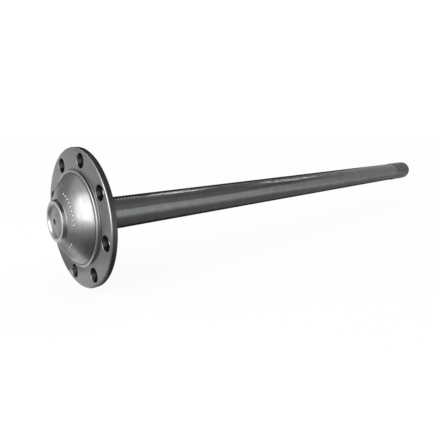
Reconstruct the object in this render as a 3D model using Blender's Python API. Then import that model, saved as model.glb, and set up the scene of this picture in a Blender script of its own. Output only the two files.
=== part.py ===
"""Full-floating drive axle shaft for a heavy vehicle: one steel forging, turned, drilled and splined.

The axis lies along Y. The origin is the centre of the flange's hub face. +Y runs along the shaft to its
splined end, and the domed face of the flange looks along -Y. All sizes are in metres.
"""

from math import cos, inf, pi, radians, sin, sqrt, tan

import bmesh
import bpy
from mathutils import Matrix, Vector

# Shaft
SHAFT_LENGTH = 1.236  # from the hub face to the splined end
SHAFT_DIAMETER = 0.0546
ROOT_FILLET = 0.015  # where the shaft grows out of the flange

# Flange
FLANGE_THICKNESS = 0.010
RIM_ROUNDING = 0.0016
RIM_MARGIN = 0.0047  # steel left outside the stud holes
BOLT_CIRCLE = 0.1905
STUD_HOLES = 8
FIRST_HOLE_DEG = 31.8
STUD_HOLE_DIAMETER = 0.0168  # at the hub face, where the hole is narrowest
STUD_HOLE_TAPER_DEG = 19.8  # half angle of the cone that centres a split dowel
HOLE_CHAMFER = 0.0008

# Dish in the hub side, which clears the nuts on the end of the hub's spindle
DISH_WALL = 0.0105  # from the dish's edge to the foot of the dome
DISH_DEPTH = 0.026
DISH_CHAMFER = 0.0015
DISH_FLOOR = 0.001  # flat left between the dish's curve and the shaft's root fillet

# Dome on the outer side
DOME_MARGIN = 0.0040  # flat left between the stud holes and the foot of the dome
LIP_HEIGHT = 0.0046  # of the rounded lip round the dome's foot
LIP_WIDTH = 0.005  # from its foot in to the crease where the dome's sphere starts
LIP_GROOVE = 0.0003  # how deep the crease lies below the lip's top
LIP_INNER = 0.0014  # width of the part that rises out of the crease
LIP_SHOULDER = 0.0021  # width of the part that falls gently
LIP_FALL = 0.0004  # how far that part falls
LIP_EDGE_WIDTH = 0.0011  # of the rounding over the lip's wall
LIP_EDGE_FALL = 0.0013
FOOT_FILLET = 0.001
DOME_RISE = 0.0317  # from the crease to the top of the dome's sphere

# Raised ring on the dome, round the lathe centre
RING_DIAMETER = 0.065  # outside, across its top
RING_WIDTH = 0.0055
RING_RISE = 0.0047  # above the dome, at the middle of its width
RING_LEAN = 0.0012  # how far each of its walls leans out
RING_ROUNDING = 0.0011
RING_FILLET = 0.0012

# Lathe centres drilled in both ends
CENTRE_DIAMETER = 0.0090
CENTRE_DRILL = 0.0035
CENTRE_CONE_DEG = 60.0
CENTRE_PILOT_DEPTH = 0.004

# Involute spline, 30 degree pressure angle, cut in a slightly larger end
SPLINE_TEETH = 44
SPLINE_PITCH_DIAMETER = 0.05588
SPLINE_ADDENDUM = 0.000635
SPLINE_DEDENDUM = 0.00114
SPLINE_PRESSURE_DEG = 30.0
SPLINE_LENGTH = 0.104
SPLINE_SHOULDER = 0.003  # over which the teeth rise out of the shaft
SPLINE_RUNOUT = 0.014  # over which the cutter reaches its full depth
END_CHAMFER = 0.003

# Facets, and the steps that arcs are made in
ROUND_FACETS = 80
BORE_FACETS = 24
CENTRE_FACETS = 20
CROWN_STEPS = 3
DOME_STEPS = 8
DISH_STEPS = 7
ROOT_STEPS = 5
EDGE_STEPS = 3
SMALL_STEPS = 2
SAME_ANGLE = 1e-9
SHARP_DEG = 28.0

# Turns of the arcs that meet other surfaces at a slant
RING_EDGE_TURN_DEG = 75.0
RING_FOOT_TURN_DEG = 60.0
LIP_INNER_TURN_DEG = 24.0
LIP_SHOULDER_TURN_DEG = 22.0
LIP_EDGE_TURN_DEG = 56.0
FOOT_TURN_DEG = 78.0
DISH_TURN_DEG = 80.0

# Finish
STEEL_COLOUR = (0.105, 0.108, 0.110, 1.0)
STEEL_METALLIC = 0.85
STEEL_ROUGHNESS = 0.38

shaft_radius = SHAFT_DIAMETER / 2
hole_mouth = STUD_HOLE_DIAMETER / 2 + FLANGE_THICKNESS * tan(radians(STUD_HOLE_TAPER_DEG))
hole_edge = hole_mouth + HOLE_CHAMFER
flange_radius = BOLT_CIRCLE / 2 + hole_edge + RIM_MARGIN
dome_foot = BOLT_CIRCLE / 2 - hole_edge - DOME_MARGIN
dome_edge = dome_foot - LIP_WIDTH
dome_sphere = (dome_edge**2 + DOME_RISE**2) / (2 * DOME_RISE)
dish_radius = dome_foot - DISH_WALL
outer_face = -FLANGE_THICKNESS


def clear_scene():
    for thing in list(bpy.data.objects):
        bpy.data.objects.remove(thing, do_unlink=True)


def arc(start, end, turn_deg, steps):
    """Points after start, up to end, of the round arc that turns through turn_deg on its way between them.

    A point is (y, radius). A positive turn bulges to the right of the way from start to end.
    """
    start = Vector(start)
    chord = Vector(end) - start
    half = radians(turn_deg) / 2
    side = Vector((chord.y, -chord.x))
    points = []
    for step in range(1, steps + 1):
        along = half * (2 * step / steps - 1)
        across = (cos(along) - cos(half)) / (2 * sin(half))
        along = (1 + sin(along) / sin(half)) / 2
        points.append(tuple(start + chord * along + side * across))
    return points


def circle(y, radius, facets=ROUND_FACETS):
    """A ring of points round the Y axis, each (angle, radius, y)."""
    return [(2 * pi * step / facets, radius, y) for step in range(facets)]


def circles(points, facets=ROUND_FACETS):
    return [circle(y, radius, facets) for y, radius in points]


def spline_ring(y, tip, root):
    """A ring through the four corners of each tooth, its tips and roots at these radii."""
    pitch_radius = SPLINE_PITCH_DIAMETER / 2
    slope = tan(radians(SPLINE_PRESSURE_DEG))
    half_at_pitch = pi / SPLINE_TEETH / 2
    half_tip = half_at_pitch - SPLINE_ADDENDUM * slope / pitch_radius
    half_root = half_at_pitch + SPLINE_DEDENDUM * slope / pitch_radius
    corners = ((-half_root, root), (-half_tip, tip), (half_tip, tip), (half_root, root))
    ring = []
    for tooth in range(SPLINE_TEETH):
        middle = 2 * pi * (tooth + 0.5) / SPLINE_TEETH
        ring += [(middle + offset, radius, y) for offset, radius in corners]
    return ring


def lathe_centre(face_y, inward):
    """Rings of a centre-drilled hole from its pointed bottom to its mouth in the face at face_y."""
    mouth = CENTRE_DIAMETER / 2
    drill = CENTRE_DRILL / 2
    cone_depth = (mouth - drill) / tan(radians(CENTRE_CONE_DEG / 2))
    depths = ((cone_depth + CENTRE_PILOT_DEPTH, drill), (cone_depth, drill), (0.0, mouth))
    return circles([(face_y + inward * depth, radius) for depth, radius in depths], CENTRE_FACETS)


def dome_point(radius):
    """The point (y, radius) of the dome's sphere at this radius."""
    drop = dome_sphere - sqrt(dome_sphere**2 - radius**2)
    return (outer_face - LIP_HEIGHT + LIP_GROOVE - DOME_RISE + drop, radius)


def dome_points(start, end, steps):
    """Points on the dome after the radius start, up to the radius end."""
    return [dome_point(start + (end - start) * step / steps) for step in range(1, steps + 1)]


def crown_rings():
    """The lathe centre, the top of the dome and the raised ring, out to the ring's outer foot."""
    mouth = CENTRE_DIAMETER / 2
    outer = RING_DIAMETER / 2
    inner = outer - RING_WIDTH
    top = dome_point((inner + outer) / 2)[0] - RING_RISE
    inner_foot = dome_point(inner - RING_LEAN - RING_FILLET)
    outer_foot = dome_point(outer + RING_LEAN + RING_FILLET)
    points = dome_points(mouth, inner_foot[1], CROWN_STEPS)
    inner_wall = (inner_foot[0] - RING_FILLET, inner - RING_LEAN)
    points += arc(inner_foot, inner_wall, RING_FOOT_TURN_DEG, SMALL_STEPS)
    points += [(top + RING_ROUNDING, inner)]
    points += arc(points[-1], (top, inner + RING_ROUNDING), -RING_EDGE_TURN_DEG, SMALL_STEPS)
    points += [(top, outer - RING_ROUNDING)]
    points += arc(points[-1], (top + RING_ROUNDING, outer), -RING_EDGE_TURN_DEG, SMALL_STEPS)
    points += [(outer_foot[0] - RING_FILLET, outer + RING_LEAN)]
    points += arc(points[-1], outer_foot, RING_FOOT_TURN_DEG, SMALL_STEPS)
    return lathe_centre(dome_point(mouth)[0], 1) + circles(points)


def dome_rings():
    """The dome from the raised ring down to the crease, and the rounded lip down to the flange."""
    ring_foot = RING_DIAMETER / 2 + RING_LEAN + RING_FILLET
    lip_top = (outer_face - LIP_HEIGHT, dome_edge + LIP_INNER)
    shoulder_end = (lip_top[0] + LIP_FALL, lip_top[1] + LIP_SHOULDER)
    wall_top = (shoulder_end[0] + LIP_EDGE_FALL, shoulder_end[1] + LIP_EDGE_WIDTH)
    lip_foot = (outer_face - FOOT_FILLET, dome_foot)
    points = dome_points(ring_foot, dome_edge, DOME_STEPS)
    points += arc(points[-1], lip_top, -LIP_INNER_TURN_DEG, SMALL_STEPS)
    points += arc(lip_top, shoulder_end, -LIP_SHOULDER_TURN_DEG, SMALL_STEPS)
    points += arc(shoulder_end, wall_top, -LIP_EDGE_TURN_DEG, EDGE_STEPS)
    points.append(lip_foot)
    points += arc(lip_foot, (outer_face, dome_foot + FOOT_FILLET), FOOT_TURN_DEG, SMALL_STEPS)
    return circles(points)


def rim_rings():
    """The flange's rim, with both of its edges rounded."""
    points = [(outer_face, flange_radius - RIM_ROUNDING)]
    points += arc(points[-1], (outer_face + RIM_ROUNDING, flange_radius), -90, EDGE_STEPS)
    points += [(-RIM_ROUNDING, flange_radius)]
    points += arc(points[-1], (0.0, flange_radius - RIM_ROUNDING), -90, EDGE_STEPS)
    return circles(points)


def dish_rings():
    """The dish in the hub side and the fillet from its floor into the shaft."""
    floor_inner = shaft_radius + ROOT_FILLET
    floor_outer = floor_inner + DISH_FLOOR
    points = [(0.0, dish_radius + DISH_CHAMFER), (-DISH_CHAMFER, dish_radius)]
    points += arc(points[-1], (-DISH_DEPTH, floor_outer), DISH_TURN_DEG, DISH_STEPS)
    points += [(-DISH_DEPTH, floor_inner)]
    points += arc(points[-1], (ROOT_FILLET - DISH_DEPTH, shaft_radius), 90, ROOT_STEPS)
    return circles(points)


def spline_rings():
    """The splined end: teeth, cutter run-out, chamfer and lathe centre."""
    tip = SPLINE_PITCH_DIAMETER / 2 + SPLINE_ADDENDUM
    root = SPLINE_PITCH_DIAMETER / 2 - SPLINE_DEDENDUM
    start = SHAFT_LENGTH - SPLINE_LENGTH
    chamfer_start = SHAFT_LENGTH - END_CHAMFER
    chamfer_meets_root = chamfer_start + tip - root
    end_radius = tip - END_CHAMFER
    rings = [
        circle(start, shaft_radius),
        spline_ring(start + SPLINE_SHOULDER, tip, shaft_radius),
        spline_ring(start + SPLINE_RUNOUT, tip, root),
        spline_ring(chamfer_start, tip, root),
        spline_ring(chamfer_meets_root, root, root),
        circle(SHAFT_LENGTH, end_radius),
    ]
    return rings + lathe_centre(SHAFT_LENGTH, -1)[::-1]


def next_turn(ring, place):
    """How far round the ring's next point lies, or infinity once the ring is closed."""
    if place == len(ring):
        return inf
    whole_turns = (place + 1) // len(ring)
    return ring[(place + 1) % len(ring)][1] + 2 * pi * whole_turns


def bridge(mesh, first, second):
    """Closes the band between two rings, which may have different numbers of points."""
    a = b = 0
    while a < len(first) or b < len(second):
        corners = [first[a % len(first)][0], second[b % len(second)][0]]
        turn_a = next_turn(first, a)
        turn_b = next_turn(second, b)
        if turn_b < turn_a + SAME_ANGLE:
            b += 1
            corners.append(second[b % len(second)][0])
        if turn_a < turn_b + SAME_ANGLE:
            a += 1
            corners.append(first[a % len(first)][0])
        mesh.faces.new(corners)


def skin(rings, place=None):
    """A closed bmesh over the rings, with a flat cap on each end ring."""
    mesh = bmesh.new()
    made = []
    for ring in rings:
        made.append(
            [(mesh.verts.new((r * cos(a), y, r * sin(a))), a) for a, r, y in sorted(ring)]
        )
    for first, second in zip(made[:-1], made[1:]):
        bridge(mesh, first, second)
    for ring in (made[0], made[-1]):
        mesh.faces.new([vert for vert, _ in ring])
    bmesh.ops.recalc_face_normals(mesh, faces=mesh.faces)
    if place is not None:
        bmesh.ops.transform(mesh, matrix=place, verts=mesh.verts)
    return mesh


def object_from(mesh, name):
    data = bpy.data.meshes.new(name)
    mesh.to_mesh(data)
    mesh.free()
    thing = bpy.data.objects.new(name, data)
    bpy.context.scene.collection.objects.link(thing)
    return thing


def steel():
    material = bpy.data.materials.new("forged_steel")
    material.use_nodes = True
    shader = material.node_tree.nodes["Principled BSDF"]
    shader.inputs["Base Color"].default_value = STEEL_COLOUR
    shader.inputs["Metallic"].default_value = STEEL_METALLIC
    shader.inputs["Roughness"].default_value = STEEL_ROUGHNESS
    material.diffuse_color = STEEL_COLOUR
    return material


def stud_hole_cutter(number):
    """The tapered hole for one stud and its split dowel, chamfered where it meets the outer face."""
    beyond = FLANGE_THICKNESS
    slope = tan(radians(STUD_HOLE_TAPER_DEG))
    small = STUD_HOLE_DIAMETER / 2
    chamfer_floor = outer_face + HOLE_CHAMFER
    points = [
        (outer_face - HOLE_CHAMFER, hole_edge + HOLE_CHAMFER),
        (chamfer_floor, small - chamfer_floor * slope),
        (0.0, small),
        (beyond, small),
    ]
    angle = radians(FIRST_HOLE_DEG + 360 * number / STUD_HOLES)
    reach = BOLT_CIRCLE / 2
    place = Matrix.Translation((reach * cos(angle), 0.0, reach * sin(angle)))
    cutter = object_from(skin(circles(points, BORE_FACETS), place), f"stud_hole_cutter_{number + 1}")
    cutter.hide_render = True
    cutter.display_type = "WIRE"
    return cutter


def axle_shaft():
    rings = crown_rings() + dome_rings() + rim_rings() + dish_rings() + spline_rings()
    shaft = object_from(skin(rings), "axle_shaft")
    shaft.data.materials.append(steel())
    for number in range(STUD_HOLES):
        drill = shaft.modifiers.new(f"stud hole {number + 1}", "BOOLEAN")
        drill.operation = "DIFFERENCE"
        drill.object = stud_hole_cutter(number)
    shaft.data.shade_smooth()
    shaft.data.set_sharp_from_angle(angle=radians(SHARP_DEG))
    return shaft


clear_scene()
axle_shaft()
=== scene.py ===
"""Looks of the axle shaft: a fine steel skin in place of the solid, its finishes, studio and camera.

The frame is the solid's own. The axis lies along Y, the origin is the centre of the flange's hub
face, and +Y runs to the splined end. Lengths are in metres, and names that end in DEG in degrees.
"""

from math import atan2, cos, pi, radians, sin, sqrt, tan

import bmesh
import bpy
from mathutils import Matrix, Quaternion, Vector


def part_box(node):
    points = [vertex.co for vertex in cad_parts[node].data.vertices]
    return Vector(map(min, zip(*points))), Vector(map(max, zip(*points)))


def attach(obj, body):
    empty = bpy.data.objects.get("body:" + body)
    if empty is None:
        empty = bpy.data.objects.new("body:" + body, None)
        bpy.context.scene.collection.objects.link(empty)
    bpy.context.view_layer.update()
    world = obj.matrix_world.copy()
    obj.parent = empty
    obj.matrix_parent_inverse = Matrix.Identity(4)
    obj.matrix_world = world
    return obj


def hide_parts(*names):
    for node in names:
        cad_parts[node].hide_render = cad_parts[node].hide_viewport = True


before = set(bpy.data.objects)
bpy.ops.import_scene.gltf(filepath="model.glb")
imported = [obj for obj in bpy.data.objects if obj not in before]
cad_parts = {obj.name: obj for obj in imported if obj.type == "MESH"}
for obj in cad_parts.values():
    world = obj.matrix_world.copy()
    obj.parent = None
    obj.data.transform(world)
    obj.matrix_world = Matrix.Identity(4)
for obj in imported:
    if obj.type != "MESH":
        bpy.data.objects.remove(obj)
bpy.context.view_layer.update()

# Sizes of the solid
SHAFT_LENGTH = 1.236
SHAFT_RADIUS = 0.0273
ROOT_FILLET = 0.015
FLANGE_THICKNESS = 0.010
FLANGE_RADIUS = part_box("axle_shaft")[1].x
RIM_ROUNDING = 0.0016
BOLT_RADIUS = 0.09525
STUD_HOLES = 8
FIRST_HOLE_DEG = 31.8
HOLE_RADIUS = 0.0084
HOLE_TAPER = tan(radians(19.8))
HOLE_CHAMFER = 0.0008
DOME_MARGIN = 0.0040
LIP_HEIGHT = 0.0046
LIP_WIDTH = 0.005
LIP_GROOVE = 0.0003
LIP_INNER = 0.0014
LIP_SHOULDER = 0.0021
LIP_FALL = 0.0004
LIP_EDGE_WIDTH = 0.0011
LIP_EDGE_FALL = 0.0013
FOOT_FILLET = 0.001
DOME_RISE = 0.0317
RING_RADIUS = 0.0325
RING_WIDTH = 0.0055
RING_RISE = 0.0047
RING_LEAN = 0.0012
RING_ROUNDING = 0.0011
RING_FILLET = 0.0012
DISH_WALL = 0.0105
DISH_DEPTH = 0.026
DISH_CHAMFER = 0.0015
DISH_FLOOR = 0.001
CENTRE_RADIUS = 0.0045
DRILL_RADIUS = 0.00175
PILOT_DEPTH = 0.004
TEETH = 44
PITCH_RADIUS = 0.02794
ADDENDUM = 0.000635
DEDENDUM = 0.00114
SPLINE_LENGTH = 0.104
SPLINE_SHOULDER = 0.003
SPLINE_RUNOUT = 0.014
END_CHAMFER = 0.003

# Turns of the profile's arcs
CENTRE_EDGE_TURN_DEG = 50.0
RING_TOP_TURN_DEG = 75.0
RING_FOOT_TURN_DEG = 60.0
CREASE_TURN_DEG = 65.0
LIP_INNER_TURN_DEG = 19.0
LIP_SHOULDER_TURN_DEG = 22.0
LIP_EDGE_TURN_DEG = 56.0
FOOT_TURN_DEG = 78.0
DISH_TURN_DEG = 80.0
HOLE_MOUTH_TURN_DEG = 60.0
QUARTER_TURN_DEG = 90.0

# Fine forms of the skin
EDGE_BREAK = 0.0002
EDGE_BREAK_DEPTH = 0.0003
DRILL_TIP_LENGTH = 0.0009
DRILL_TIP_RADIUS = 0.0002
CREASE_MARGIN = 0.0009
CREASE_REACH = 0.0003
CREASE_LIFT = 0.00012
HUB_EDGE = 0.0005
CUTTER_OVERRUN = 0.004
TOOTH_ROOT_GAP = 0.00015
CENTRE_CONE_DEG = 30.0
PRESSURE_ANGLE_DEG = 30.0
FLANK_BULGE_RAD = 0.0012

# How finely the skin is divided
POINTS_PER_TOOTH = 8
FACETS = TEETH * POINTS_PER_TOOTH
HOLE_FACETS = 72
SHAFT_BANDS = 24
RUNOUT_STEPS = 5
SHARP_DEG = 32.0

OUTER_FACE = -FLANGE_THICKNESS
HOLE_EDGE = HOLE_RADIUS + FLANGE_THICKNESS * HOLE_TAPER + HOLE_CHAMFER
DOME_FOOT = BOLT_RADIUS - HOLE_EDGE - DOME_MARGIN
DISH_RADIUS = DOME_FOOT - DISH_WALL
LIP_TOP = OUTER_FACE - LIP_HEIGHT
DOME_EDGE = DOME_FOOT - LIP_WIDTH
DOME_SPHERE = (DOME_EDGE**2 + DOME_RISE**2) / (2 * DOME_RISE)

# Small pips on the dome and punch marks on the shaft, with each ball's half width and half height
PIP_CIRCLE = 0.046
PIP_ANGLES_DEG = (-52.7, -43.7, 0.3, 9.3, 18.3, 27.3, 36.3, 45.3, 54.3, 63.3, 72.3)
PIP_SIZE = (0.0021, 0.0012)
PUNCH_ANGLE_DEG = 64.5
PUNCH_PLACES = (0.059, 0.0652, 0.0714, 0.0776, 0.0838, 0.090, 0.0962)
PUNCH_SIZE = (0.0025, 0.0013)

# Object texture scales of the finishes
CLOUD_SCALE = 38.0
GRAIN_SCALE = 900.0
WAVE_SCALE = 26.0
WAVE_STRETCH = (1.0, 0.4, 1.0)

ZONES = ("forged", "crease", "lip", "turned", "edge", "rim", "dish", "shaft", "spline", "bore")


def arc(start, end, turn_deg, steps):
    """Points after start, up to end, of the round arc between them that turns through turn_deg."""
    start = Vector(start)
    chord = Vector(end) - start
    half = radians(turn_deg) / 2
    side = Vector((chord.y, -chord.x))
    points = []
    for step in range(1, steps + 1):
        turn = half * (2 * step / steps - 1)
        across = (cos(turn) - cos(half)) / (2 * sin(half))
        along = (1 + sin(turn) / sin(half)) / 2
        points.append(tuple(start + chord * along + side * across))
    return points


def circle(y, radius, facets=FACETS):
    return [(2 * pi * step / facets, radius, y) for step in range(facets)]


def dome_point(radius):
    """The point (y, radius) of the dome's sphere at this radius."""
    drop = DOME_SPHERE - sqrt(DOME_SPHERE**2 - radius**2)
    return (LIP_TOP + LIP_GROOVE - DOME_RISE + drop, radius)


def dome_points(start, end, steps):
    return [dome_point(start + (end - start) * step / steps) for step in range(1, steps + 1)]


def lathe_centre():
    """A lathe centre as (depth, radius) points, from the drill's tip up to the edge of its mouth."""
    cone_depth = (CENTRE_RADIUS - DRILL_RADIUS) / tan(radians(CENTRE_CONE_DEG))
    return [
        (cone_depth + PILOT_DEPTH + DRILL_TIP_LENGTH, DRILL_TIP_RADIUS),
        (cone_depth + PILOT_DEPTH, DRILL_RADIUS),
        (cone_depth, DRILL_RADIUS),
        (EDGE_BREAK_DEPTH, CENTRE_RADIUS - EDGE_BREAK),
    ]


def profile():
    """The turned profile as (zone, (y, radius) points), from the dome's centre to the spline."""
    mouth = dome_point(CENTRE_RADIUS)[0]
    crown_start = CENTRE_RADIUS + EDGE_BREAK
    centre = [(mouth + depth, radius) for depth, radius in lathe_centre()]
    centre += arc(centre[-1], dome_point(crown_start), -CENTRE_EDGE_TURN_DEG, steps=3)

    inner = RING_RADIUS - RING_WIDTH
    top = dome_point((inner + RING_RADIUS) / 2)[0] - RING_RISE
    inner_foot = dome_point(inner - RING_LEAN - RING_FILLET)
    outer_foot = dome_point(RING_RADIUS + RING_LEAN + RING_FILLET)
    inner_wall = (inner_foot[0] - RING_FILLET, inner - RING_LEAN)
    crown = dome_points(crown_start, inner_foot[1], steps=10)
    crown += arc(inner_foot, inner_wall, RING_FOOT_TURN_DEG, steps=6)
    ring = [(top + RING_ROUNDING, inner)]
    ring += arc(ring[-1], (top, inner + RING_ROUNDING), -RING_TOP_TURN_DEG, steps=7)
    ring += [(top, RING_RADIUS - RING_ROUNDING)]
    ring += arc(ring[-1], (top + RING_ROUNDING, RING_RADIUS), -RING_TOP_TURN_DEG, steps=7)
    dome = [(outer_foot[0] - RING_FILLET, RING_RADIUS + RING_LEAN)]
    dome += arc(dome[-1], outer_foot, RING_FOOT_TURN_DEG, steps=6)
    dome += dome_points(outer_foot[1], DOME_EDGE - CREASE_MARGIN, steps=34)

    lip_top = (LIP_TOP, DOME_EDGE + LIP_INNER)
    shoulder_end = (LIP_TOP + LIP_FALL, lip_top[1] + LIP_SHOULDER)
    wall_top = (shoulder_end[0] + LIP_EDGE_FALL, shoulder_end[1] + LIP_EDGE_WIDTH)
    crease_end = (LIP_TOP + LIP_GROOVE - CREASE_LIFT, DOME_EDGE + CREASE_REACH)
    crease = [dome_point(DOME_EDGE - CREASE_REACH)]
    crease += arc(crease[-1], crease_end, CREASE_TURN_DEG, steps=4)
    rise = arc(crease[-1], lip_top, -LIP_INNER_TURN_DEG, steps=6)
    still_crease = 2
    crease += rise[:still_crease]
    lip = rise[still_crease:]
    lip += arc(lip_top, shoulder_end, -LIP_SHOULDER_TURN_DEG, steps=6)
    lip += arc(shoulder_end, wall_top, -LIP_EDGE_TURN_DEG, steps=12)
    wall = [(OUTER_FACE - FOOT_FILLET, DOME_FOOT)]
    face = arc(wall[-1], (OUTER_FACE, DOME_FOOT + FOOT_FILLET), FOOT_TURN_DEG, steps=6)
    face += [(OUTER_FACE, FLANGE_RADIUS - RIM_ROUNDING)]

    edge_end = (OUTER_FACE + RIM_ROUNDING, FLANGE_RADIUS)
    edge = arc(face[-1], edge_end, -QUARTER_TURN_DEG, steps=8)
    rim = [(-RIM_ROUNDING, FLANGE_RADIUS)]
    rim += arc(rim[-1], (0.0, FLANGE_RADIUS - RIM_ROUNDING), -QUARTER_TURN_DEG, steps=7)

    hub_face = [(0.0, DISH_RADIUS + DISH_CHAMFER), (-DISH_CHAMFER, DISH_RADIUS)]
    floor_inner = SHAFT_RADIUS + ROOT_FILLET
    first = ROOT_FILLET - DISH_DEPTH
    last = SHAFT_LENGTH - SPLINE_LENGTH
    dish = arc(hub_face[-1], (-DISH_DEPTH, floor_inner + DISH_FLOOR), DISH_TURN_DEG, steps=20)
    dish += [(-DISH_DEPTH, floor_inner)]
    dish += arc(dish[-1], (first, SHAFT_RADIUS), QUARTER_TURN_DEG, steps=14)

    bands = range(1, SHAFT_BANDS + 1)
    shaft = [(first + (last - first) * band / SHAFT_BANDS, SHAFT_RADIUS) for band in bands]
    return (
        # The lathe centre takes the dark bore finish: painted shade in the recess.
        ("bore", centre),
        ("forged", crown),
        # The ring takes the bright edge finish, a painted highlight.
        ("edge", ring),
        ("forged", dome),
        # The crease band takes a darker finish: painted shade in the crease.
        ("crease", crease),
        # The lip takes a lighter finish: painted sheen on its band.
        ("lip", lip),
        ("turned", wall),
        ("turned", face),
        # The rim's front edge takes the bright edge finish, a painted highlight.
        ("edge", edge),
        # The rim side takes a dark finish: painted shade of the dark surroundings it mirrors.
        ("rim", rim),
        ("turned", hub_face),
        ("dish", dish),
        ("shaft", shaft),
    )


def tooth_ring(y, tip, root, chamfer_start=None):
    """A ring through the corners of all teeth. With chamfer_start, it lies on the end's cone."""
    slope = tan(radians(PRESSURE_ANGLE_DEG))
    half_pitch = pi / TEETH / 2
    half_tip = half_pitch - ADDENDUM * slope / PITCH_RADIUS
    half_root = half_pitch + DEDENDUM * slope / PITCH_RADIUS
    middle = (tip + root) / 2
    half_middle = (half_tip + half_root) / 2 + FLANK_BULGE_RAD
    side = ((half_root, root), (half_middle, middle), (half_tip, tip), (half_tip * 0.5, tip))
    corners = [(-offset, radius) for offset, radius in side]
    corners += [(offset, radius) for offset, radius in reversed(side)]
    ring = []
    for tooth in range(TEETH):
        centre = 2 * pi * (tooth + 0.5) / TEETH
        for offset, radius in corners:
            place = y if chamfer_start is None else chamfer_start + tip - radius
            ring.append((centre + offset, radius, place))
    return ring


def spline_rings():
    """The splined end: teeth, cutter run-out, chamfered end and lathe centre."""
    tip = PITCH_RADIUS + ADDENDUM
    root = PITCH_RADIUS - DEDENDUM
    start = SHAFT_LENGTH - SPLINE_LENGTH
    chamfer_start = SHAFT_LENGTH - END_CHAMFER
    rings = [tooth_ring(start + SPLINE_SHOULDER, tip, SHAFT_RADIUS)]
    for step in range(1, RUNOUT_STEPS + 1):
        share = step / RUNOUT_STEPS
        y = start + SPLINE_SHOULDER + (SPLINE_RUNOUT - SPLINE_SHOULDER) * share
        rings.append(tooth_ring(y, tip, SHAFT_RADIUS + (root - SHAFT_RADIUS) * share))
    rings.append(tooth_ring(0.0, tip, root, chamfer_start))
    rings.append(circle(chamfer_start + tip - root + TOOTH_ROOT_GAP, root - TOOTH_ROOT_GAP))
    face_radius = tip - END_CHAMFER
    ends = [(SHAFT_LENGTH - EDGE_BREAK_DEPTH, face_radius + EDGE_BREAK)]
    ends += arc(ends[-1], (SHAFT_LENGTH, face_radius - EDGE_BREAK), QUARTER_TURN_DEG / 2, steps=3)
    ends += [(SHAFT_LENGTH, CENTRE_RADIUS + EDGE_BREAK)]
    ends += [(SHAFT_LENGTH - depth, radius) for depth, radius in reversed(lathe_centre())]
    return rings + [circle(y, radius) for y, radius in ends]


def skin(rings, zones, place=None):
    """A closed bmesh over rings of equal counts. zones names the finish of the band up to each ring."""
    mesh = bmesh.new()
    made = [[mesh.verts.new((r * cos(a), y, r * sin(a))) for a, r, y in ring] for ring in rings]
    for number, (first, second) in enumerate(zip(made[:-1], made[1:])):
        count = len(first)
        for corner in range(count):
            beyond = (corner + 1) % count
            face = mesh.faces.new((first[corner], second[corner], second[beyond], first[beyond]))
            face.material_index = ZONES.index(zones[number + 1])
    for ring, zone in ((made[0], zones[0]), (made[-1], zones[-1])):
        cap = mesh.faces.new(ring)
        cap.material_index = ZONES.index(zone)
    bmesh.ops.recalc_face_normals(mesh, faces=mesh.faces)
    if place is not None:
        bmesh.ops.transform(mesh, matrix=place, verts=mesh.verts)
    return mesh


def object_from(mesh, name, materials=()):
    data = bpy.data.meshes.new(name)
    mesh.to_mesh(data)
    mesh.free()
    for material in materials:
        data.materials.append(material)
    thing = bpy.data.objects.new(name, data)
    bpy.context.scene.collection.objects.link(thing)
    return thing


def buttons(mesh, places, size, zone):
    """Adds a flattened ball to mesh at each (point, normal)."""
    width, height = size
    for point, normal in places:
        turn = normal.to_track_quat("Z", "Y").to_matrix().to_4x4()
        matrix = Matrix.Translation(point) @ turn @ Matrix.Diagonal((width, width, height, 1.0))
        made = bmesh.ops.create_uvsphere(mesh, u_segments=20, v_segments=12, radius=1.0, matrix=matrix)
        for face in {face for vert in made["verts"] for face in vert.link_faces}:
            face.material_index = ZONES.index(zone)


def dome_pips():
    """Low round pips on the dome, evenly spaced on a circle round its centre."""
    y, radius = dome_point(PIP_CIRCLE)
    middle = Vector((0.0, LIP_TOP + LIP_GROOVE - DOME_RISE + DOME_SPHERE, 0.0))
    angles = [radians(angle) for angle in PIP_ANGLES_DEG]
    points = [Vector((radius * cos(angle), y, radius * sin(angle))) for angle in angles]
    mesh = bmesh.new()
    # The pips take the bright edge finish so that they glint: painted highlight.
    buttons(mesh, [(point, point - middle) for point in points], PIP_SIZE, "edge")
    return object_from(mesh, "dome_pips")


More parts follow.
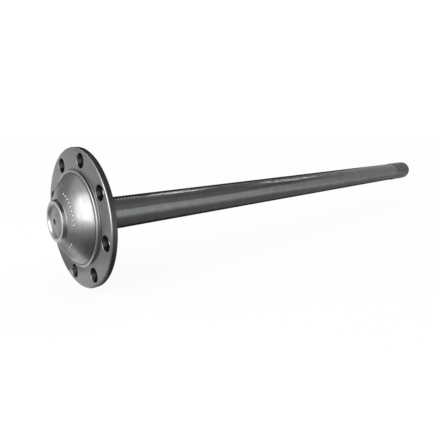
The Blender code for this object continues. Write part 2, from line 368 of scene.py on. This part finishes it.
def cutters():
    """All tapered stud holes in one mesh, rounded where they meet both faces, and the punch marks."""
    mouth = HOLE_EDGE - HOLE_CHAMFER
    mouth_end = (OUTER_FACE + HOLE_CHAMFER, mouth - HOLE_CHAMFER * HOLE_TAPER)
    outside = [(OUTER_FACE - CUTTER_OVERRUN, HOLE_EDGE), (OUTER_FACE, HOLE_EDGE)]
    rounding = arc(outside[-1], mouth_end, HOLE_MOUTH_TURN_DEG, steps=5)
    bore = [(-HUB_EDGE, HOLE_RADIUS + HUB_EDGE * HOLE_TAPER)]
    bore += arc(bore[-1], (0.0, HOLE_RADIUS + HUB_EDGE), HOLE_MOUTH_TURN_DEG, steps=3)
    bore += [(CUTTER_OVERRUN, HOLE_RADIUS + HUB_EDGE)]
    rings = [circle(y, radius, HOLE_FACETS) for y, radius in outside + rounding + bore]
    # The hole walls take the dark bore finish, which is painted shade in the holes.
    zones = ["bore"] * len(outside) + ["turned"] * len(rounding) + ["bore"] * len(bore)
    whole = bmesh.new()
    for number in range(STUD_HOLES):
        angle = radians(FIRST_HOLE_DEG + 360 * number / STUD_HOLES)
        place = Matrix.Translation((BOLT_RADIUS * cos(angle), 0.0, BOLT_RADIUS * sin(angle)))
        one = skin(rings, zones, place)
        data = bpy.data.meshes.new("one_hole")
        one.to_mesh(data)
        one.free()
        whole.from_mesh(data)
        bpy.data.meshes.remove(data)
    angle = radians(PUNCH_ANGLE_DEG)
    out = Vector((cos(angle), 0.0, sin(angle)))
    marks = [(out * SHAFT_RADIUS + Vector((0.0, y, 0.0)), out) for y in PUNCH_PLACES]
    # The punch marks take the bright edge finish so that they glint: painted highlight.
    buttons(whole, marks, PUNCH_SIZE, "edge")
    return object_from(whole, "cutters")


def apply_modifiers(thing):
    bpy.context.view_layer.update()
    graph = bpy.context.evaluated_depsgraph_get()
    made = bpy.data.meshes.new_from_object(thing.evaluated_get(graph))
    thing.modifiers.clear()
    thing.data = made


def axle_skin(materials):
    rings = []
    zones = []
    for zone, points in profile():
        rings += [circle(y, radius) for y, radius in points]
        zones += [zone] * len(points)
    ends = spline_rings()
    drilled = len(lathe_centre())
    rings += ends
    # The end's lathe centre takes the dark bore finish: painted shade in the recess.
    zones += ["spline"] * (len(ends) - drilled) + ["bore"] * drilled
    thing = object_from(skin(rings, zones), "axle_skin", materials)
    for tool, operation in ((dome_pips(), "UNION"), (cutters(), "DIFFERENCE")):
        for material in materials:
            tool.data.materials.append(material)
        step = thing.modifiers.new(operation.lower(), "BOOLEAN")
        step.operation = operation
        step.solver = "EXACT"
        step.object = tool
        apply_modifiers(thing)
        bpy.data.objects.remove(tool, do_unlink=True)
    thing.data.shade_smooth()
    thing.data.set_sharp_from_angle(angle=radians(SHARP_DEG))
    even = thing.modifiers.new("even normals", "WEIGHTED_NORMAL")
    even.keep_sharp = True
    even.weight = 80
    return thing


class Nodes:
    """A short way to write a material's node tree."""

    def __init__(self, material):
        self.tree = material.node_tree

    def add(self, kind, inputs=(), **settings):
        node = self.tree.nodes.new(kind)
        for name, value in settings.items():
            setattr(node, name, value)
        for name, value in dict(inputs).items():
            socket = node.inputs[name]
            if isinstance(value, bpy.types.NodeSocket):
                self.tree.links.new(value, socket)
            else:
                socket.default_value = value
        return node

    def math(self, operation, first, second=0.0):
        return self.add("ShaderNodeMath", {0: first, 1: second}, operation=operation).outputs[0]

    def mix(self, share, first, second):
        node = self.add("ShaderNodeMix", {0: share, 6: first, 7: second}, data_type="RGBA")
        return node.outputs[2]

    def noise(self, place, scale, detail, roughness):
        inputs = {"Vector": place, "Scale": scale, "Detail": detail, "Roughness": roughness}
        return self.add("ShaderNodeTexNoise", inputs).outputs["Fac"]

    def bump(self, height, depth, below=None):
        inputs = {"Height": height, "Distance": depth, "Strength": 1.0}
        if below is not None:
            inputs["Normal"] = below
        return self.add("ShaderNodeBump", inputs).outputs["Normal"]


def steel(
    name, light, dark, roughness, spread, marks_along, mark_size, mark_depth, grain_depth, sway=0.0
):
    """A steel finish: cloudy tone, uneven gloss, tool marks round the axis and a fine grain.

    marks_along is "radius" on a faced surface and "length" on a turned one. sway is the height of slow,
    long waves.
    """
    material = bpy.data.materials.new(name)
    material.use_nodes = True
    nodes = Nodes(material)
    shader = material.node_tree.nodes["Principled BSDF"]
    place = nodes.add("ShaderNodeTexCoord").outputs["Object"]
    split = nodes.add("ShaderNodeSeparateXYZ", {0: place})
    across = nodes.add("ShaderNodeCombineXYZ", {"X": split.outputs["X"], "Z": split.outputs["Z"]})
    radius = nodes.add("ShaderNodeVectorMath", {0: across.outputs[0]}, operation="LENGTH")
    along = radius.outputs["Value"] if marks_along == "radius" else split.outputs["Y"]

    clouds = nodes.noise(place, CLOUD_SCALE, detail=6.0, roughness=0.6)
    grain = nodes.noise(place, GRAIN_SCALE, detail=3.0, roughness=0.6)
    lathe = nodes.add(
        "ShaderNodeTexNoise",
        {"W": along, "Scale": 1.0 / mark_size, "Detail": 3.0, "Roughness": 0.65},
        noise_dimensions="1D",
    ).outputs["Fac"]
    tone = nodes.math("MULTIPLY", clouds, 0.7)
    tone = nodes.math("ADD", tone, nodes.math("MULTIPLY", lathe, 0.3))
    reach = nodes.add("ShaderNodeMapRange", {0: tone, 1: 0.32, 2: 0.68})
    colour = nodes.mix(reach.outputs[0], (*dark, 1.0), (*light, 1.0))
    gloss = nodes.add(
        "ShaderNodeMapRange",
        {0: clouds, 1: 0.3, 2: 0.7, 3: roughness + spread, 4: roughness - spread},
    )
    relief = nodes.bump(lathe, mark_depth)
    relief = nodes.bump(grain, grain_depth, relief)
    if sway:
        slow = nodes.add("ShaderNodeVectorMath", {0: place, 1: WAVE_STRETCH}, operation="MULTIPLY")
        waves = nodes.noise(slow.outputs[0], WAVE_SCALE, detail=2.0, roughness=0.5)
        relief = nodes.bump(waves, sway, relief)
    link = material.node_tree.links.new
    link(colour, shader.inputs["Base Color"])
    link(gloss.outputs[0], shader.inputs["Roughness"])
    link(relief, shader.inputs["Normal"])
    shader.inputs["Metallic"].default_value = 1.0
    return material


def plain(name, colour, glow=0.0):
    """A matt stage finish. glow is the share of it that camera and mirror rays see as plain white."""
    material = bpy.data.materials.new(name)
    material.use_nodes = True
    nodes = Nodes(material)
    links = material.node_tree.links
    shader = material.node_tree.nodes["Principled BSDF"]
    shader.inputs["Base Color"].default_value = (*colour, 1.0)
    shader.inputs["Roughness"].default_value = 0.9
    shader.inputs["Specular IOR Level"].default_value = 0.1
    if glow:
        rays = nodes.add("ShaderNodeLightPath").outputs
        seen = nodes.math("MAXIMUM", rays["Is Camera Ray"], rays["Is Glossy Ray"])
        seen = nodes.math("MAXIMUM", seen, rays["Is Transmission Ray"])
        share = nodes.math("MULTIPLY", seen, glow)
        white = nodes.add("ShaderNodeEmission", {"Color": (1.0, 1.0, 1.0, 1.0), "Strength": 1.0})
        both = nodes.add("ShaderNodeMixShader", {0: share, 1: shader.outputs[0], 2: white.outputs[0]})
        links.new(both.outputs[0], material.node_tree.nodes["Material Output"].inputs["Surface"])
    return material


def card(name, corners, material):
    """A flat stage card through its corners."""
    mesh = bmesh.new()
    mesh.faces.new([mesh.verts.new(corner) for corner in corners])
    thing = object_from(mesh, name, [material])
    return thing


def sheet(low, high):
    """The corners of a flat rectangle square to one axis, from two opposite ones."""
    if low[0] == high[0]:
        return [low, (low[0], high[1], low[2]), high, (low[0], low[1], high[2])]
    return [low, (high[0], low[1], low[2]), high, (low[0], high[1], high[2])]


def flag(name, corners, material):
    """A card that only mirror rays see, as the flags round a studio table do."""
    thing = card(name, corners, material)
    thing.visible_camera = False
    thing.visible_diffuse = False
    thing.visible_transmission = False
    thing.visible_shadow = False
    return thing


def softbox(name, place, target, width, height, radiance, roll=0.0):
    """An area lamp that faces target. Its height runs upwards, turned by roll degrees."""
    data = bpy.data.lights.new(name, "AREA")
    data.shape = "RECTANGLE"
    data.size = width
    data.size_y = height
    data.energy = radiance * pi * width * height
    thing = bpy.data.objects.new(name, data)
    bpy.context.scene.collection.objects.link(thing)
    thing.location = place
    aim = Vector(target) - Vector(place)
    turn = aim.to_track_quat("-Z", "Y") @ Quaternion((0.0, 0.0, 1.0), radians(roll))
    thing.rotation_euler = turn.to_euler()
    thing.visible_camera = False
    return thing


def strip(name, start, end, width, radiance):
    """A lamp along the line from start to end, both at one height, that shines down."""
    way = Vector(end) - Vector(start)
    middle = (Vector(start) + Vector(end)) / 2
    thing = softbox(name, middle, middle - Vector((0.0, 0.0, 1.0)), width, way.length, radiance)
    thing.rotation_euler = (0.0, 0.0, atan2(-way.x, way.y))
    return thing


def studio():
    floor_level = -FLANGE_RADIUS
    far = 40.0
    pale = plain("pale_floor", (0.86, 0.86, 0.86), glow=0.9)
    corners = [(-far, -far), (far, -far), (far, far), (-far, far)]
    card("floor", [(x, y, floor_level) for x, y in corners], pale)

    world = bpy.data.worlds.new("studio")
    bpy.context.scene.world = world
    world.use_nodes = True
    backdrop = world.node_tree.nodes["Background"]
    backdrop.inputs["Color"].default_value = (1.0, 1.0, 1.0, 1.0)
    backdrop.inputs["Strength"].default_value = 1.0

    black = plain("black_card", (0.03, 0.03, 0.03))
    deep = plain("deep_card", (0.15, 0.15, 0.15))
    dark = plain("dark_card", (0.29, 0.29, 0.29))
    middle = plain("middle_card", (0.40, 0.40, 0.40))
    grey = plain("grey_card", (0.50, 0.50, 0.50))
    light = plain("light_card", (0.68, 0.68, 0.68))
    low = floor_level + 0.004
    above = low + 0.001
    ceiling = 0.6
    under_ceiling = 0.599
    lowest = 0.598
    hood = 0.62
    left_wall = -0.6
    end_wall = 3.0
    front = [(-0.20, -0.30), (0.75, -0.45), (0.75, 0.02), (0.03, 0.02)]
    front += [(0.03, -0.015), (-0.02, -0.10), (-0.20, -0.14)]
    flag("flag_front", [(x, y, low) for x, y in front], dark)
    flag("flag_shade", sheet((-0.22, 0.02, low), (-0.005, 1.5, low)), black)
    flag("flag_shade_far", sheet((-1.0, 0.02, low), (-0.22, 1.5, low)), dark)
    flag("flag_under", sheet((-0.005, 0.02, low), (0.18, 1.5, low)), dark)
    flag("flag_under_far", sheet((0.09, 0.78, above), (0.18, 1.22, above)), middle)
    flag("flag_pit", sheet((0.03, -0.15, above), (0.20, -0.045, above)), deep)
    flag("flag_foot", sheet((0.03, 0.015, above), (0.17, 0.10, above)), deep)
    flag("flag_near", sheet((-0.07, -0.055, above), (-0.042, -0.028, above)), grey)
    flag("flag_left", sheet((-0.30, -0.085, above), (-0.07, -0.012, above)), middle)
    flag("flag_beside", sheet((0.18, 0.02, low), (0.32, 1.5, low)), grey)
    flag("flag_beside_far", sheet((0.18, 0.85, above), (0.32, 1.32, above)), light)
    flag("flag_far", sheet((0.18, 1.5, low), (1.0, end_wall, low)), grey)
    flag("flag_far_right", sheet((1.0, 1.5, low), (2.2, end_wall, low)), light)
    flag("flag_back", sheet((left_wall, 0.0, low), (left_wall, 2.3, 0.9)), black)
    flag("flag_top", sheet((-0.30, 0.05, ceiling), (1.30, 1.7, ceiling)), dark)
    flag("flag_top_right", sheet((0.35, 0.05, under_ceiling), (1.45, 1.2, under_ceiling)), middle)
    flag("flag_side", sheet((left_wall, -0.9, 0.10), (left_wall, 0.0, ceiling)), dark)
    flag("flag_low", sheet((left_wall, -0.7, low), (left_wall, -0.28, 0.085)), grey)
    flag("flag_above", sheet((-0.45, -0.28, hood), (0.55, 0.02, hood)), black)
    streak = [(0.29, 1.2), (0.40, 1.2), (0.56, 1.95), (0.46, 1.95)]
    flag("flag_streak", [(x, y, lowest) for x, y in streak], black)
    flag("flag_end", sheet((-2.2, end_wall, low), (1.25, end_wall, 1.8)), grey)
    flag("flag_corner", sheet((1.25, end_wall, low), (2.2, end_wall, 1.8)), light)

    key_place = (0.32, -1.46, 0.40)
    softbox("key", key_place, (0.0, -0.03, 0.0), width=1.15, height=1.33, radiance=3.2, roll=12.0)
    strip("strip_near", (-0.259, 0.535, 0.55), (-0.175, 0.69, 0.55), width=0.05, radiance=10.0)
    strip("strip_far", (-0.060, 1.07, 0.55), (0.086, 1.395, 0.55), width=0.03, radiance=10.5)

    bpy.context.scene.view_settings.view_transform = "Standard"


def camera():
    forward = Vector((-0.738593, 0.652438, -0.169721))
    right = Vector((0.662042, 0.749466, 0.0))
    up = right.cross(forward)
    data = bpy.data.cameras.new("camera")
    data.sensor_width = 36.0
    data.lens = 31.642
    data.shift_x = 0.0419
    data.shift_y = -0.0467
    data.clip_end = 200.0
    thing = bpy.data.objects.new("camera", data)
    bpy.context.scene.collection.objects.link(thing)
    turn = Matrix((right, up, -forward)).transposed().to_4x4()
    thing.matrix_world = Matrix.Translation((0.58376, -0.26017, 0.13368)) @ turn
    bpy.context.scene.camera = thing


# Light and dark tone, roughness and its spread, the marks' way, size and depth, grain's depth, sway
FINISHES = {
    "forged": ((0.31, 0.315, 0.315), (0.25, 0.255, 0.255), 0.31, 0.05, "radius", 0.004, 4e-6, 4e-6),
    # crease: darker tone in the crease between dome and lip, painted shade
    "crease": ((0.15, 0.153, 0.153), (0.10, 0.102, 0.102), 0.42, 0.05, "radius", 0.001, 4e-6, 4e-6),
    # lip: lighter tone on the dome's lip, painted sheen
    "lip": ((0.44, 0.446, 0.445), (0.38, 0.385, 0.384), 0.26, 0.03, "radius", 0.0006, 4e-6, 2e-6),
    "turned": ((0.245, 0.25, 0.249), (0.21, 0.215, 0.214), 0.30, 0.04, "radius", 0.0006, 6e-6, 2e-6),
    # edge: brighter tone on the ring, rim edge, pips and punch marks, painted highlight
    "edge": ((0.50, 0.505, 0.505), (0.42, 0.425, 0.425), 0.24, 0.04, "radius", 0.0006, 4e-6, 2e-6),
    # rim: dark tone on the flange's rim side, painted shade
    "rim": ((0.10, 0.103, 0.103), (0.07, 0.072, 0.072), 0.38, 0.05, "length", 0.0005, 10e-6, 5e-6),
    "dish": ((0.20, 0.204, 0.204), (0.14, 0.143, 0.143), 0.46, 0.06, "radius", 0.003, 30e-6, 20e-6),
    "shaft": ((0.245, 0.251, 0.251), (0.18, 0.184, 0.184), 0.23, 0.05, "length", 0.004, 3e-6, 2e-6, 0.0015),
    "spline": ((0.22, 0.225, 0.225), (0.18, 0.184, 0.184), 0.30, 0.05, "length", 0.002, 10e-6, 3e-6),
    # bore: dark tone inside the stud holes and lathe centres, painted shade in these recesses
    "bore": ((0.085, 0.087, 0.087), (0.063, 0.065, 0.065), 0.22, 0.05, "length", 0.0008, 10e-6, 5e-6),
}
materials = [steel(f"{zone}_steel", *FINISHES[zone]) for zone in ZONES]

axle = axle_skin(materials)
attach(axle, "root")
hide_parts("axle_shaft")

studio()
camera()
